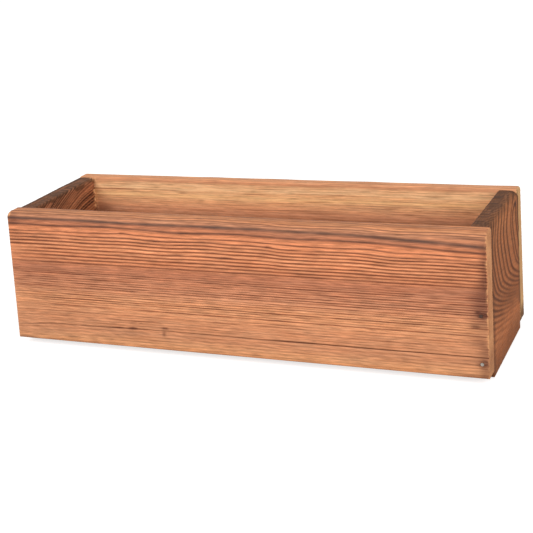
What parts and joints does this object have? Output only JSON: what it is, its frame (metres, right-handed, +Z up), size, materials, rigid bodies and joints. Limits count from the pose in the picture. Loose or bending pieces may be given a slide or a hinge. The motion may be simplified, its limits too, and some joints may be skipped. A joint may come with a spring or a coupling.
{
  "type": "window box planter",
  "caption": "Long open-topped wooden trough, nailed up from planed boards with brushed grain, drain holes in its raised floor",
  "frame": {"origin": "on the ground under the middle of the box", "axes": "+X to the right along the length, the long front board faces -Y, +Z up"},
  "size_m": [0.44, 0.15, 0.128],
  "materials": {
    "front_wood": "singed and wire-brushed softwood under an orange-brown stain",
    "back_wood": "planed softwood with a light orange stain",
    "left_end_wood": "deeply singed and brushed softwood, dark brown",
    "right_end_wood": "singed and brushed softwood, brown with dark rings",
    "floor_wood": "planed softwood, lightly stained",
    "nail_steel": "bright wire"
  },
  "bodies": {
    "root": {"front_board": "front_wood", "back_board": "back_wood", "left_end_board": "left_end_wood", "right_end_board": "right_end_wood", "floor_board": "floor_wood", "nails_front_left": "nail_steel", "nails_front_right": "nail_steel", "nails_back_left": "nail_steel", "nails_back_right": "nail_steel", "nails_floor_left": "nail_steel", "nails_floor_right": "nail_steel", "nails_floor_back": "nail_steel"}
  },
  "joints": []
}
